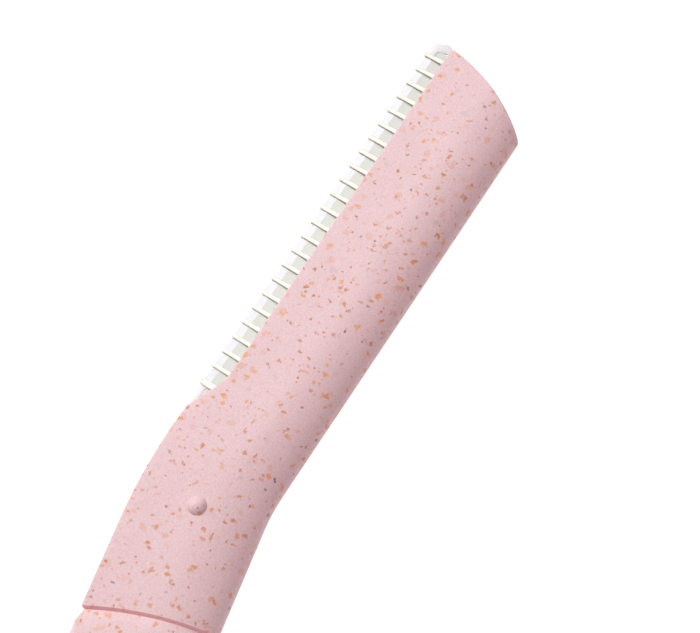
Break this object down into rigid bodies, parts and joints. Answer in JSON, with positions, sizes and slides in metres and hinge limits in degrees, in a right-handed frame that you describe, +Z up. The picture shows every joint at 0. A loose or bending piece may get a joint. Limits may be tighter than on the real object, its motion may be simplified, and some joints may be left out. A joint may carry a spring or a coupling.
{
  "type": "eyebrow razor",
  "caption": "Guarded eyebrow razor: steel blade under a ribbed comb in a slim angled head, flat grip, and a slide-off cap posted on the tail.",
  "frame": {"origin": "on the flat underside of the grip, at the middle of its thick part, where the razor rests when it lies on its side", "axes": "+X along the grip towards the head and the blade's tip, +Y across the grip to the blade's side, +Z up through the thickness"},
  "size_m": [0.1571, 0.0185, 0.0065],
  "materials": {
    "speckled_plastic": "satin moulded plastic with plant fibre flecks",
    "blade_steel": "satin ground strip with a bright honed bevel",
    "comb_plastic": "cream, slightly see-through moulded plastic"
  },
  "bodies": {
    "razor": {"head": "speckled_plastic", "grip": "speckled_plastic", "blade": "blade_steel", "guard_comb": "comb_plastic"},
    "cap": {"cap": "speckled_plastic"}
  },
  "joints": [
    {"name": "cap_slide", "type": "slide", "parent": "razor", "child": "cap", "axis": [-1, 0, 0], "range_m": [0, 0.048]}
  ]
}
